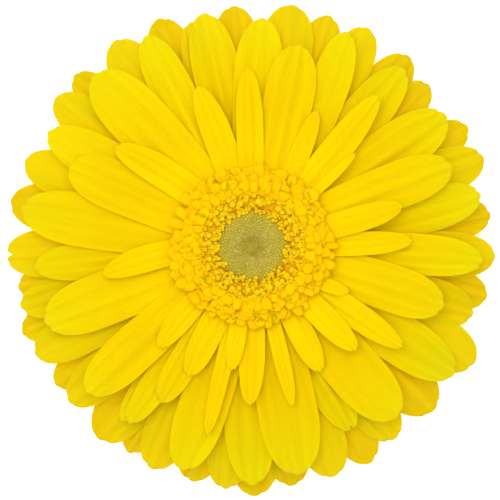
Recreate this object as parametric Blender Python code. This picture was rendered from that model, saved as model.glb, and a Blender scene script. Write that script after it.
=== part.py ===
"""Head of a fully double gerbera, cut just below its cup and lying face up on a flat surface.

The flower is built about its own upright axis. Ray florets lie in seven rows, and each row follows
a dome of its own, so that rows never meet. Sizes are in millimetres until a point is made.
"""

import math

import bmesh
import bpy

MM = 0.001

# The flower's axis, from the middle of its outline
AXIS_X = 0.55
AXIS_Y = 1.05

# Rows of ray florets, counted from the lowest
TOP_ROW = 6
BACK_ROW = 0
MIDDLE_ROW = 1
LOWEST_RAY_HEIGHT = 12.6
ROW_STEP = 0.85
RAY_BASE_RADIUS = 13.8
RAY_THICKNESS = 0.5
RESTING_REACH = 55.5
TOP_RISE = 0.12
TOP_DROOP = 0.0052
JOINED_REACH = 32.0
BLUNT_TIP = 0.35

# Stations along a ray, crowded towards its tip
RAY_STATIONS = 8
STATION_POWER = 1.6
LOBE_STEPS = (-8, -6, -4, -2, 2, 4, 6, 8)
LEAST_LOBE_STEP = 1.2
MOST_LOBE_STEP = 8
OUTLINE_STEPS = 60
WIDEST_LOBE = 30
PLATE_SHARES = (0.0, 0.2, 0.4, 0.6, 0.8, 1.0)

# Stem, receptacle and the cup of bracts, turned about a ball's centre above them
STEM_RADIUS = 2.6
STEM_TOP = 5.0
CUP_CENTRE_HEIGHT = 18.3
RECEPTACLE_RADIUS = 13.0
RECEPTACLE_TOP = 11.7
FIRST_BRACT_RADIUS = 13.5
BRACT_THICKNESS = 0.5
BRACT_STEP = 0.9
BRACT_START_RADIUS = 3.2
BRACT_TEETH = 16
BRACT_SHARES = (0.0, 0.4, 0.75, 1.0)

# Disc of the flower, its heights above the disc's own bottom
BED_RADIUS = 13.5
BED_BOTTOM = 12.0
BED_TOP = 19.3
DISC_BOTTOM = 19.6
BUDS_RADIUS = 8.2
BUDS_RIM = 1.3
BUDS_TOP = 2.6
BUDS_DIMPLE = 1.6
OPEN_INNER_RADIUS = 8.5
OPEN_OUTER_RADIUS = 11.3
OPEN_TOP = 3.4
OPEN_TEETH = 24
COLLAR_INNER_RADIUS = 11.6
COLLAR_OUTER_RADIUS = 17.9
COLLAR_TOP = 3.9
COLLAR_TEETH = 30
TOOTH_DEPTH = 0.9
ROUND_STEPS = 36

# Ray shapes: where a ray is widest, its width at the base, and how full its tip is
FRONT_SHAPE = (0.66, 0.34, 2.0)
BACK_SHAPE = (0.74, 0.30, 2.3)
INNER_SHAPE = (0.50, 0.45, 1.7)

# Angle, reach and width of the rays in the lowest row
BACK_RAYS = (
    (7.5, 54.8, 10.0),
    (29.0, 56.2, 9.6),
    (42.5, 54.6, 9.6),
    (50.5, 56.2, 10.5),
    (71.5, 55.5, 9.6),
    (94.5, 55.0, 10.5),
    (112.5, 56.2, 10.5),
    (136.0, 56.4, 9.6),
    (169.5, 56.2, 11.4),
    (190.0, 54.3, 9.1),
    (200.5, 56.2, 9.6),
    (215.0, 55.0, 9.6),
    (231.5, 56.4, 12.3),
    (239.0, 55.0, 8.7),
    (255.5, 55.5, 11.0),
    (270.5, 57.1, 11.9),
    (279.5, 55.5, 11.0),
    (298.5, 56.4, 10.5),
    (318.0, 55.9, 12.8),
    (348.0, 54.8, 10.0),
)

# Angle, reach and width of the rays in the next row
MIDDLE_RAYS = (
    (357.5, 55.3, 10.4),
    (21.0, 56.4, 10.4),
    (62.0, 56.2, 10.4),
    (80.5, 55.7, 12.2),
    (105.5, 52.8, 8.2),
    (124.0, 56.4, 11.3),
    (143.0, 56.2, 10.4),
    (159.5, 55.3, 10.4),
    (182.0, 56.4, 11.3),
    (194.5, 54.6, 9.5),
    (206.5, 55.3, 10.4),
    (220.5, 54.8, 10.4),
    (245.5, 55.7, 10.9),
    (263.5, 55.7, 10.4),
    (289.5, 55.7, 11.3),
    (306.5, 54.6, 10.9),
    (332.5, 57.3, 12.2),
    (343.0, 52.5, 10.4),
)

# Angle at the base, angle at the tip, reach, width and row of each large ray in front
FRONT_RAYS = (
    (358.0, 356.5, 52.2, 9.2, 3),
    (10.0, 12.5, 53.1, 10.3, 2),
    (24.0, 22.0, 48.4, 10.5, 4),
    (34.0, 34.0, 52.9, 11.7, 3),
    (49.0, 49.5, 52.9, 10.3, 2),
    (61.0, 66.0, 52.9, 9.0, 3),
    (75.0, 77.0, 46.4, 11.2, 4),
    (89.0, 87.5, 51.6, 10.8, 3),
    (101.0, 102.0, 54.0, 10.6, 2),
    (117.5, 117.0, 53.4, 9.4, 3),
    (131.0, 132.5, 52.7, 13.2, 4),
    (149.0, 151.0, 52.9, 10.3, 3),
    (156.0, 156.5, 44.9, 11.2, 4),
    (172.0, 171.0, 52.9, 12.1, 3),
    (184.0, 185.5, 49.5, 8.5, 2),
    (199.0, 200.0, 50.0, 12.1, 3),
    (220.0, 221.5, 49.8, 10.5, 4),
    (230.5, 233.0, 49.5, 5.4, 2),
    (235.0, 235.0, 48.7, 6.7, 3),
    (239.0, 239.5, 40.8, 6.7, 4),
    (254.0, 252.5, 53.1, 11.2, 3),
    (267.0, 270.0, 54.3, 11.3, 2),
    (283.0, 281.5, 52.7, 13.4, 3),
    (296.0, 298.5, 47.5, 8.1, 2),
    (308.0, 310.0, 50.7, 12.6, 3),
    (328.0, 327.5, 54.3, 11.5, 2),
    (344.0, 342.5, 45.1, 10.7, 4),
)

# The same for the small rays next to the disc
INNER_RAYS = (
    (0.5, 2.0, 35.8, 5.3, 5),
    (13.5, 15.0, 34.7, 5.8, 6),
    (48.0, 50.0, 44.0, 6.7, 5),
    (61.0, 64.5, 33.6, 4.4, 5),
    (91.0, 91.5, 40.0, 6.0, 5),
    (106.0, 109.0, 37.8, 6.7, 5),
    (137.5, 144.0, 38.0, 6.9, 5),
    (183.0, 190.5, 34.0, 6.0, 5),
    (224.0, 227.0, 30.9, 5.3, 5),
    (243.0, 243.5, 32.5, 6.2, 5),
    (256.0, 256.5, 43.6, 3.8, 5),
    (260.0, 260.5, 28.2, 4.0, 6),
    (270.5, 269.0, 35.6, 5.8, 5),
    (285.0, 284.0, 36.9, 3.6, 5),
    (300.0, 298.5, 32.0, 5.8, 5),
    (315.0, 315.0, 32.9, 5.8, 6),
    (326.5, 326.0, 40.5, 6.0, 5),
    (331.0, 334.0, 24.2, 3.1, 6),
    (40.0, 42.0, 31.1, 2.2, 6),
)

# Colours, linear
RAY_YELLOW = (0.92, 0.68, 0.006)
SHADED_YELLOW = (0.80, 0.50, 0.008)
FLORET_YELLOW = (0.90, 0.54, 0.006)
OPEN_FLORET_YELLOW = (0.86, 0.60, 0.02)
BUD_GREEN = (0.42, 0.36, 0.06)
BRACT_GREEN = (0.12, 0.22, 0.04)
STEM_GREEN = (0.16, 0.30, 0.06)
PITH_CREAM = (0.62, 0.62, 0.36)


def clear_scene():
    for existing in list(bpy.data.objects):
        bpy.data.objects.remove(existing, do_unlink=True)


def plant_material(name, colour, roughness):
    material = bpy.data.materials.new(name)
    material.use_nodes = True
    shader = material.node_tree.nodes["Principled BSDF"]
    shader.inputs["Base Color"].default_value = (*colour, 1.0)
    shader.inputs["Roughness"].default_value = roughness
    shader.inputs["Metallic"].default_value = 0.0
    return material


def add_piece(name, builder, colour, roughness=0.6):
    """Turns the finished bmesh into a named object on the flower's axis."""
    bmesh.ops.recalc_face_normals(builder, faces=builder.faces[:])
    mesh = bpy.data.meshes.new(name)
    builder.to_mesh(mesh)
    builder.free()
    mesh.shade_smooth()
    mesh.set_sharp_from_angle(angle=math.radians(40))
    piece = bpy.data.objects.new(name, mesh)
    piece.location = (AXIS_X * MM, AXIS_Y * MM, 0.0)
    piece.data.materials.append(plant_material(name, colour, roughness))
    bpy.context.scene.collection.objects.link(piece)
    return piece


def round_point(angle, radius, height):
    """A point in metres from an angle in degrees, a radius and a height."""
    turn = math.radians(angle)
    return (radius * math.cos(turn) * MM, radius * math.sin(turn) * MM, height * MM)


def row_height(row, radius):
    """Height of a row's underside: it leaves the bed rising a little and droops outwards."""
    share = row / TOP_ROW
    out = radius - RAY_BASE_RADIUS
    lowest_droop = LOWEST_RAY_HEIGHT / (RESTING_REACH - RAY_BASE_RADIUS) ** 2
    droop = lowest_droop + (TOP_DROOP - lowest_droop) * share
    height = LOWEST_RAY_HEIGHT + ROW_STEP * row + TOP_RISE * share * out - droop * out * out
    return max(height, 0.0)


def half_width(along, width, shape):
    """Half the width of a ray at a share of its length."""
    widest_at, base_share, fullness = shape
    if along < widest_at:
        swell = math.sin(along / widest_at * math.pi / 2) ** 1.15
        return width / 2 * (base_share + (1 - base_share) * swell)
    past = (along - widest_at) / (1 - widest_at)
    return max(width / 2 * math.sqrt(max(1 - past**fullness, 0.0)), BLUNT_TIP)


def sheet_rows(builder, rows):
    """Faces between successive rows of vertices."""
    faces = []
    for row, following in zip(rows, rows[1:]):
        for side in range(len(row) - 1):
            corners = (row[side], row[side + 1], following[side + 1], following[side])
            faces.append(builder.faces.new(corners))
    return faces


def ray_floret(name, ray, shape):
    """One ray floret: a sheet on its row's dome, given its thickness upwards."""
    base_angle, tip_angle, reach, width, row = ray
    builder = bmesh.new()
    rows = []
    for station in range(RAY_STATIONS + 1):
        along = 1 - (1 - station / RAY_STATIONS) ** STATION_POWER
        radius = RAY_BASE_RADIUS + (reach - RAY_BASE_RADIUS) * along
        turn = math.radians(base_angle + (tip_angle - base_angle) * along)
        half = half_width(along, width, shape)
        line = []
        for side in (-1, 0, 1):
            x = radius * math.cos(turn) - side * half * math.sin(turn)
            y = radius * math.sin(turn) + side * half * math.cos(turn)
            height = row_height(row, math.hypot(x, y))
            line.append(builder.verts.new((x * MM, y * MM, height * MM)))
        rows.append(line)
    faces = sheet_rows(builder, rows)
    raised = bmesh.ops.extrude_face_region(builder, geom=faces, use_keep_orig=True)
    lifted = [part for part in raised["geom"] if isinstance(part, bmesh.types.BMVert)]
    bmesh.ops.translate(builder, verts=lifted, vec=(0, 0, RAY_THICKNESS * MM))
    return add_piece(name, builder, RAY_YELLOW, 0.55)


def between(angle, other):
    """The smaller angle between two directions, in degrees."""
    return abs((angle - other + 180) % 360 - 180)


def lobe_angles(rays):
    """Where a joined whorl is sampled: at every tip, beside it, and in any wide gap left."""
    angles = [tip for tip, _, _ in rays]
    for tip in tuple(angles):
        for step in LOBE_STEPS:
            side = (tip + step) % 360
            if min(between(side, known) for known in angles) > LEAST_LOBE_STEP:
                angles.append(side)
    for filler in range(0, 360, MOST_LOBE_STEP):
        if min(between(filler, known) for known in angles) > MOST_LOBE_STEP / 2:
            angles.append(filler)
    return sorted(angles)


def ray_edge(angle, ray, shape):
    """How far out one ray reaches in a direction, or the joined part's reach beside it."""
    tip_angle, reach, width = ray
    aside = between(angle, tip_angle)
    if aside > WIDEST_LOBE:
        return JOINED_REACH
    for step in range(OUTLINE_STEPS, 0, -1):
        along = step / OUTLINE_STEPS
        radius = RAY_BASE_RADIUS + (reach - RAY_BASE_RADIUS) * along
        if half_width(along, width, shape) >= radius * math.sin(math.radians(aside)):
            return max(radius, JOINED_REACH)
    return JOINED_REACH


def ring_solid(name, sections, colour, roughness=0.6):
    """A ring from closed sections that stand around the axis, each a list of (radius, height)."""
    builder = bmesh.new()
    loops = []
    for angle, section in sections:
        points = [round_point(angle, radius, height) for radius, height in section]
        loops.append([builder.verts.new(point) for point in points])
    for index, loop in enumerate(loops):
        following = loops[(index + 1) % len(loops)]
        for corner in range(len(loop)):
            after = (corner + 1) % len(loop)
            builder.faces.new((loop[corner], loop[after], following[after], following[corner]))
    return add_piece(name, builder, colour, roughness)


def joined_rays(name, rays, row, colour):
    """A whole row of ray florets in one lobed plate."""
    sections = []
    for angle in lobe_angles(rays):
        edge = max(ray_edge(angle, ray, BACK_SHAPE) for ray in rays)
        radii = [RAY_BASE_RADIUS + (edge - RAY_BASE_RADIUS) * share for share in PLATE_SHARES]
        under = [(radius, row_height(row, radius)) for radius in radii]
        over = [(radius, height + RAY_THICKNESS) for radius, height in reversed(under)]
        sections.append((angle, under + over))
    return ring_solid(name, sections, colour, 0.55)


def turned_solid(name, profile, colour, roughness=0.6):
    """A profile of (radius, height) points from axis to axis, spun about the axis."""
    builder = bmesh.new()
    corners = [builder.verts.new(round_point(0, radius, height)) for radius, height in profile]
    edges = [builder.edges.new(pair) for pair in zip(corners, corners[1:])]
    bmesh.ops.spin(
        builder,
        geom=corners + edges,
        cent=(0, 0, 0),
        axis=(0, 0, 1),
        angle=math.tau,
        steps=ROUND_STEPS,
        use_merge=True,
    )
    bmesh.ops.remove_doubles(builder, verts=builder.verts[:], dist=0.001 * MM)
    return add_piece(name, builder, colour, roughness)


def stem_stub():
    """The cut end of the stalk, flat below and a little wider at the neck."""
    profile = (
        (0, 0),
        (STEM_RADIUS - 0.2, 0),
        (STEM_RADIUS - 0.1, 1.6),
        (STEM_RADIUS, 3.4),
        (STEM_RADIUS + 0.1, STEM_TOP),
        (0, STEM_TOP),
    )
    return turned_solid("stem_stub", profile, STEM_GREEN)


def ball_point(radius, angle):
    """A point on the cup's ball, the angle in degrees from straight down."""
    turn = math.radians(angle)
    return (radius * math.sin(turn), CUP_CENTRE_HEIGHT - radius * math.cos(turn))


def receptacle():
    """The swollen end of the stalk that carries every floret."""
    rise = CUP_CENTRE_HEIGHT - RECEPTACLE_TOP
    widest = math.degrees(math.acos(rise / RECEPTACLE_RADIUS))
    curve = [ball_point(RECEPTACLE_RADIUS, widest * step / 5) for step in range(6)]
    return turned_solid("receptacle", curve + [(0, RECEPTACLE_TOP)], PITH_CREAM)


def bract_whorl(name, layer, tip_angle, notch_angle):
    """A whorl of narrow green bracts around the cup, joined where they overlap."""
    inner = FIRST_BRACT_RADIUS + BRACT_STEP * layer
    outer = inner + BRACT_THICKNESS
    start = math.degrees(math.asin(BRACT_START_RADIUS / inner))
    sections = []
    for step in range(2 * BRACT_TEETH):
        end = tip_angle if step % 2 == 0 else notch_angle
        turns = [start + (end - start) * share for share in BRACT_SHARES]
        section = [ball_point(inner, turn) for turn in turns]
        section += [ball_point(outer, turn) for turn in reversed(turns)]
        around = (step + layer % 2) * 180 / BRACT_TEETH
        sections.append((around, section))
    return ring_solid(name, sections, BRACT_GREEN)


def floret_bed():
    """The packed seeds and hairs under the florets, against which the rays stand."""
    profile = (
        (0, BED_BOTTOM),
        (BED_RADIUS - 1.8, BED_BOTTOM),
        (BED_RADIUS - 0.6, BED_BOTTOM + 0.5),
        (BED_RADIUS, BED_BOTTOM + 1.5),
        (BED_RADIUS, BED_TOP),
        (0, BED_TOP),
    )
    return turned_solid("floret_bed", profile, PITH_CREAM)


def toothed_ring(name, profile_of, teeth, colour):
    """A ring whose section changes from tooth to notch and back, given the depth cut at each."""
    sections = []
    for step in range(2 * teeth):
        cut = TOOTH_DEPTH * (step % 2)
        section = [(radius, DISC_BOTTOM + height) for radius, height in profile_of(cut)]
        sections.append((step * 180 / teeth, section))
    return ring_solid(name, sections, colour)


def trans_florets():
    """The collar of short strap-like florets around the disc, toothed at its rim."""

    def profile(cut):
        outer = COLLAR_OUTER_RADIUS - cut
        return (
            (COLLAR_INNER_RADIUS, 0),
            (COLLAR_OUTER_RADIUS - 1.5, 0),
            (outer, 0.5),
            (outer - 0.7, 2.1),
            (COLLAR_OUTER_RADIUS - 3.3, COLLAR_TOP - cut / 2),
            (COLLAR_INNER_RADIUS, COLLAR_TOP - 0.8),
        )

    return toothed_ring("trans_florets", profile, COLLAR_TEETH, FLORET_YELLOW)


def open_florets():
    """The ring of disc florets that have opened, with a stubby tooth each."""

    def profile(cut):
        return (
            (OPEN_INNER_RADIUS, 0),
            (OPEN_OUTER_RADIUS, 0),
            (OPEN_OUTER_RADIUS, OPEN_TOP - 1.4),
            (OPEN_OUTER_RADIUS - 0.6, OPEN_TOP - cut),
            (OPEN_INNER_RADIUS + 0.8, OPEN_TOP - 0.2 - cut),
            (OPEN_INNER_RADIUS, OPEN_TOP - 1.6),
        )

    return toothed_ring("open_florets", profile, OPEN_TEETH, OPEN_FLORET_YELLOW)


def disc_buds():
    """The closed green buds in the middle, a low cushion with a dimple."""
    rounding = (
        (0, 0),
        (BUDS_RADIUS, 0),
        (BUDS_RADIUS, BUDS_RIM),
        (BUDS_RADIUS * 0.9, BUDS_TOP - 0.4),
        (BUDS_RADIUS * 0.68, BUDS_TOP),
        (BUDS_RADIUS * 0.39, BUDS_TOP - 0.3),
        (BUDS_RADIUS * 0.17, BUDS_DIMPLE + 0.2),
        (0, BUDS_DIMPLE),
    )
    profile = [(radius, DISC_BOTTOM + height) for radius, height in rounding]
    return turned_solid("disc_buds", profile, BUD_GREEN, 0.8)


def main():
    clear_scene()
    stem_stub()
    receptacle()
    bract_whorl("inner_bracts", 0, 60.0, 50.0)
    bract_whorl("middle_bracts", 1, 52.0, 42.0)
    bract_whorl("outer_bracts", 2, 40.0, 31.0)
    floret_bed()
    joined_rays("back_rays", BACK_RAYS, BACK_ROW, SHADED_YELLOW)
    joined_rays("middle_rays", MIDDLE_RAYS, MIDDLE_ROW, SHADED_YELLOW)
    for number, ray in enumerate(FRONT_RAYS, start=1):
        ray_floret(f"front_ray_{number:02d}", ray, FRONT_SHAPE)
    for number, ray in enumerate(INNER_RAYS, start=1):
        ray_floret(f"inner_ray_{number:02d}", ray, INNER_SHAPE)
    trans_florets()
    open_florets()
    disc_buds()


main()
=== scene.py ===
# %% [markdown]
# # The head of a fully double gerbera, looked down on
#
# The real thing is a cut flower head lying face up. It has 84 yellow ray florets in seven rows, a
# collar of short curled florets, a ring of open florets and a cushion of closed green buds. Below
# are a cup of green bracts and the cut end of the stalk.
#
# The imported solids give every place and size. They are plain, so this script grows the living
# surface in their places, one piece for each ray, and finishes each with a material made of nodes.

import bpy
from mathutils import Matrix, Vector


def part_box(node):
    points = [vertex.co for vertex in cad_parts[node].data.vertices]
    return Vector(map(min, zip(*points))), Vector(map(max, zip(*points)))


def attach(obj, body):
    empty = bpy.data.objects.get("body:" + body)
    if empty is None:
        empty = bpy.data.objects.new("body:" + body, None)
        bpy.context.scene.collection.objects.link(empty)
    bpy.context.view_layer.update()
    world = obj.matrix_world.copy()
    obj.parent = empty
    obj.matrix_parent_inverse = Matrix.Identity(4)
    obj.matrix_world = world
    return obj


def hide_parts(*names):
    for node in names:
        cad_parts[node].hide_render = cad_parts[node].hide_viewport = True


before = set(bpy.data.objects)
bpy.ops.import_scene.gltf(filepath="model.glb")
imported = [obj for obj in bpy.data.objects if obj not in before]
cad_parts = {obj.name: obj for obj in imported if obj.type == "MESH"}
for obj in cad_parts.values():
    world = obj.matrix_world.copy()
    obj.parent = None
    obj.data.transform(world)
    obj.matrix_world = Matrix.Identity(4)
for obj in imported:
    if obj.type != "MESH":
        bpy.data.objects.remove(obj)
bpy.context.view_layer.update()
print("solids in the frame:", len(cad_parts))

# %% [markdown]
# ## The flower's own axis
#
# A daisy-like flower is built about one upright axis, and the disc of buds is turned about it. So
# the axis is read from the box of that solid. All shapes below are worked out in millimetres about
# the axis, and turned into metres when a point is made.

# %% Axis and units
import math
import random
from types import SimpleNamespace

import bmesh
import bpy
from mathutils import Vector

MM = 0.001
UP = Vector((0.0, 0.0, 1.0))
scene = bpy.context.scene

disc_low, disc_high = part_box("disc_buds")
axis = Vector(((disc_low.x + disc_high.x) / 2, (disc_low.y + disc_high.y) / 2, 0.0))
disc_bottom = disc_low.z / MM
print("axis, mm:", [round(value / MM, 2) for value in axis[:2]])
print("the disc starts at", round(disc_bottom, 1), "mm")

# %% [markdown]
# ## Camera
#
# The flower is seen from straight above, from far enough that its high middle is hardly larger than
# its low rim. A long lens at 0.8 m gives that. Up in the picture is +Y.

# %% Camera
PICTURE_WIDTH = 112.25
PICTURE_CENTRE = Vector((-0.01, 0.15, 14.0))
CAMERA_DISTANCE = 800.0

lens = bpy.data.cameras.new("long_lens")
lens.angle = 2 * math.atan(PICTURE_WIDTH / 2 / CAMERA_DISTANCE)
camera = bpy.data.objects.new("camera", lens)
camera.location = (PICTURE_CENTRE + UP * CAMERA_DISTANCE) * MM
scene.collection.objects.link(camera)
scene.camera = camera
print("lens, mm:", round(lens.lens, 1))

# %% [markdown]
# ## Colours and nodes
#
# Colours are written as they look on a screen, as hex values, and shaders need them linear. One
# small function turns one into the other. Another adds any node, with its settings and with the
# values or sockets that feed it, so a material reads as a list of steps. Several plain finishes
# start from the same mottle of two tones, so that has a function too.

# %% Helpers for colours and nodes
NOISE = "ShaderNodeTexNoise"
MAP_RANGE = "ShaderNodeMapRange"
SMOOTH = {"interpolation_type": "SMOOTHSTEP"}
MIX = "ShaderNodeMix"
OF_COLOURS = {"data_type": "RGBA"}
MIX_FACTOR, MIX_FIRST, MIX_SECOND, MIX_RESULT = 0, 6, 7, 2


def linear(hex_text):
    """A linear colour from an sRGB one such as "f7da01"."""
    channels = [int(hex_text[place : place + 2], 16) / 255 for place in (0, 2, 4)]
    curved = [c / 12.92 if c <= 0.04045 else ((c + 0.055) / 1.055) ** 2.4 for c in channels]
    return (*curved, 1.0)


def add_node(tree, kind, settings=None, inputs=None):
    """Adds a node. An input is a value, or the socket of an earlier node."""
    node = tree.nodes.new(kind)
    for name, value in (settings or {}).items():
        setattr(node, name, value)
    for name, value in (inputs or {}).items():
        if isinstance(value, bpy.types.NodeSocket):
            tree.links.new(value, node.inputs[name])
        else:
            node.inputs[name].default_value = value
    return node


def new_tree(name):
    """An empty material and its node tree."""
    material = bpy.data.materials.new(name)
    material.use_nodes = True
    material.node_tree.nodes.clear()
    return material, material.node_tree


def finish_material(material, inputs):
    """The last two nodes of every material: the surface shader and the output."""
    tree = material.node_tree
    shader = add_node(tree, "ShaderNodeBsdfPrincipled", inputs=inputs)
    add_node(tree, "ShaderNodeOutputMaterial", inputs={"Surface": shader.outputs[0]})
    return material


def two_tones(tree, low, high, scale, detail=2.0):
    """Two hex colours mottled over the object by a noise, with its scale in cells per metre."""
    place = add_node(tree, "ShaderNodeTexCoord").outputs["Object"]
    cells = {"Vector": place, "Scale": scale, "Detail": detail}
    noise = add_node(tree, NOISE, inputs=cells).outputs["Fac"]
    tones = {MIX_FACTOR: noise, MIX_FIRST: linear(low), MIX_SECOND: linear(high)}
    return add_node(tree, MIX, OF_COLOURS, tones).outputs[MIX_RESULT]


print("yellow f7da01 is", [round(value, 3) for value in linear("f7da01")])

# %% [markdown]
# ## Light and floor
#
# The flower was lit softly from near the camera, a little from its upper left, so its shadows are
# narrow and pale. A large lamp above the camera gives that light, and a white world fills the rest.
# The floor is a matt white board. It gives off some light of its own, as a lit photo table does, so
# that it stays white under the petals' edges.

# %% Light and floor
WORLD_STRENGTH = 0.74
LAMP_PLACE = Vector((-70.0, 110.0, 860.0))
LAMP_SIZE = 560.0
LAMP_POWER = 5.1
FLOOR_SIZE = 3000.0
FLOOR_GLOW = 0.42

world = bpy.data.worlds.new("soft_studio")
scene.world = world
world.use_nodes = True
world.node_tree.nodes["Background"].inputs["Color"].default_value = linear("ffffff")
world.node_tree.nodes["Background"].inputs["Strength"].default_value = WORLD_STRENGTH
scene.view_settings.view_transform = "Standard"

lamp = bpy.data.lights.new("large_soft_lamp", "AREA")
lamp.size = LAMP_SIZE * MM
lamp.energy = LAMP_POWER
lamp_holder = bpy.data.objects.new("large_soft_lamp", lamp)
lamp_holder.location = LAMP_PLACE * MM
lamp_holder.rotation_euler = LAMP_PLACE.to_track_quat("Z", "Y").to_euler()
scene.collection.objects.link(lamp_holder)


def white_board():
    """Matt painted board: no gloss, and so faint a mottle that it reads as plain white."""
    material, tree = new_tree("matt_white_board")
    paint = {
        "Base Color": two_tones(tree, "f4f4f4", "fafafa", 6.0),
        "Roughness": 0.9,
        "Specular IOR Level": 0.2,
        "Emission Color": linear("ffffff"),
        "Emission Strength": FLOOR_GLOW,
    }
    return finish_material(material, paint)


floor_mesh = bpy.data.meshes.new("floor")
half_floor = FLOOR_SIZE / 2 * MM
floor_corners = [(-half_floor, -half_floor), (half_floor, -half_floor)]
floor_corners += [(half_floor, half_floor), (-half_floor, half_floor)]
floor_mesh.from_pydata([(x, y, 0.0) for x, y in floor_corners], [], [(0, 1, 2, 3)])
floor_mesh.materials.append(white_board())
floor = bpy.data.objects.new("floor", floor_mesh)
scene.collection.objects.link(floor)
print("floor, m:", FLOOR_SIZE * MM)

# %% [markdown]
# ## Skin of a ray floret
#
# A ray is living petal tissue, about 0.3 mm thick. Its skin is made of tiny domed cells, which give
# a velvet look with hardly any gloss, and what gloss there is comes back yellow. Light sinks into
# it and comes out warmer. Fine veins run along it, 0.6 mm apart. Broad bands, lighter and darker,
# run along it as painted light and painted shade for shallow folds. It is warmest near the claw and
# a little greener at the tip. The claw is also painted lighter, as painted light against the shade
# the rays cast on each other there. On the lower rays this painted light runs further out, and
# their tips and veins are darker, as painted shade. The underside is paler, with veins that stand
# out more. A map in real millimetres, across and along each ray, keeps both patterns running along
# it wherever it points.

# %% Petal skin
VEIN_SPACING = 0.6
VEIN_LENGTH = 14.0
# The fold bands are painted light and painted shade for shallow folds, this many mm wide and long.
FOLD_WIDTH = 3.5
FOLD_LENGTH = 30.0
# Claws are painted lighter out to these lengths, as painted light against the shade of the rows
# above; on the lower rays it reaches further.
CLAW_END = 20.0
LOWER_PAINTED_LIGHT_CLAW_END = 34.0
TIP_START = 18.0
TIP_END = 42.0
PETAL_GLOSS = 0.2
PETAL_GLOSS_TINT = linear("ffd21e")
PETAL_MAP = "petal_mm"
TONE = "tone"
MIDDLE_TONE = 0.5
# A darker tone, as painted shade, for the pieces that lie deep between others.
SHADED_TONE = 0.2
PATTERN_SPREAD = 40.0
VEIN_RELIEF = 0.05


def petal_noise(tree, place, own, width, length):
    """A noise drawn out along a petal, in cells of width by length mm; own makes petals differ."""
    scale = (1 / width, 1 / length, 1.0)
    stretched = add_node(tree, "ShaderNodeMapping", inputs={"Vector": place, "Scale": scale})
    cells = {"Vector": stretched.outputs[0], "W": own, "Scale": 1.0, "Detail": 2.0}
    return add_node(tree, NOISE, {"noise_dimensions": "4D"}, cells).outputs["Fac"]


def petal_skin(name, claw, blade, tip, vein, vein_share, depth, claw_end=CLAW_END):
    """Petal tissue: hex colours for claw, blade, tip and veins, and how deep light goes in, mm."""
    material, tree = new_tree(name)
    place = add_node(tree, "ShaderNodeUVMap", {"uv_map": PETAL_MAP}).outputs["UV"]
    tone = add_node(tree, "ShaderNodeAttribute", {"attribute_name": TONE}).outputs["Fac"]
    spread = {0: tone, 1: PATTERN_SPREAD}
    own = add_node(tree, "ShaderNodeMath", {"operation": "MULTIPLY"}, spread).outputs[0]
    along = add_node(tree, "ShaderNodeSeparateXYZ", inputs={"Vector": place}).outputs["Y"]
    # The claw colour is partly the claw's own warmth and partly painted light.
    near_claw = {"Value": along, "From Min": claw_end, "From Max": 0.0}
    claw_share = add_node(tree, MAP_RANGE, SMOOTH, near_claw).outputs[0]
    near_tip = {"Value": along, "From Min": TIP_START, "From Max": TIP_END}
    tip_share = add_node(tree, MAP_RANGE, SMOOTH, near_tip).outputs[0]
    veins = petal_noise(tree, place, own, VEIN_SPACING, VEIN_LENGTH)
    # Fold bands: painted light and shade for shallow folds. The same noise also varies the
    # roughness.
    fold_shade_noise = petal_noise(tree, place, own, FOLD_WIDTH, FOLD_LENGTH)
    on_vein = {"Value": veins, "From Min": 0.45, "From Max": 0.75, "To Max": vein_share}
    vein_amount = add_node(tree, MAP_RANGE, inputs=on_vein).outputs[0]
    colour = linear(blade)
    for share, hex_text in ((claw_share, claw), (tip_share, tip), (vein_amount, vein)):
        layer = {MIX_FACTOR: share, MIX_FIRST: colour, MIX_SECOND: linear(hex_text)}
        colour = add_node(tree, MIX, OF_COLOURS, layer).outputs[MIX_RESULT]
    # The fold bands lighten and darken the colour: painted light and painted shade.
    painted_fold_shade = {"Value": fold_shade_noise, "To Min": 0.88, "To Max": 1.08}
    lightness = add_node(tree, MAP_RANGE, inputs=painted_fold_shade).outputs[0]
    varied = {"Value": tone, "To Min": 0.496, "To Max": 0.502}
    own_hue = add_node(tree, MAP_RANGE, inputs=varied).outputs[0]
    living = {"Hue": own_hue, "Value": lightness, "Color": colour}
    colour = add_node(tree, "ShaderNodeHueSaturation", inputs=living).outputs[0]
    velvet = {"Value": fold_shade_noise, "To Min": 0.5, "To Max": 0.68}
    roughness = add_node(tree, MAP_RANGE, inputs=velvet).outputs[0]
    raised = {"Height": veins, "Strength": 0.5, "Distance": VEIN_RELIEF * MM}
    tissue = {
        "Base Color": colour,
        "Roughness": roughness,
        "Normal": add_node(tree, "ShaderNodeBump", inputs=raised).outputs[0],
        "IOR": 1.4,
        "Specular IOR Level": PETAL_GLOSS,
        "Specular Tint": PETAL_GLOSS_TINT,
        "Subsurface Weight": 0.6,
        "Subsurface Radius": (1.0, 0.8, 0.1),
        "Subsurface Scale": depth * MM,
    }
    return finish_material(material, tissue)


# Claw, blade, tip and vein colours. Each claw is painted lighter as painted light; the middle and
# back rows' claws are lighter still, and their tips and veins darker, as painted shade.
UPPER_COLOURS_WITH_PAINTED_LIGHT = ("fcce04", "e7c402", "d7c904", "deac02")
UNDER_COLOURS = ("dcd458", "f1d638", "f0da40", "dcb820")
MIDDLE_COLOURS_WITH_PAINTED_LIGHT_AND_SHADE = ("fede06", "e7c403", "d3c104", "dca402")
BACK_COLOURS_WITH_PAINTED_LIGHT_AND_SHADE = ("fede06", "ebc203", "d3bb04", "d0a002")

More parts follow.
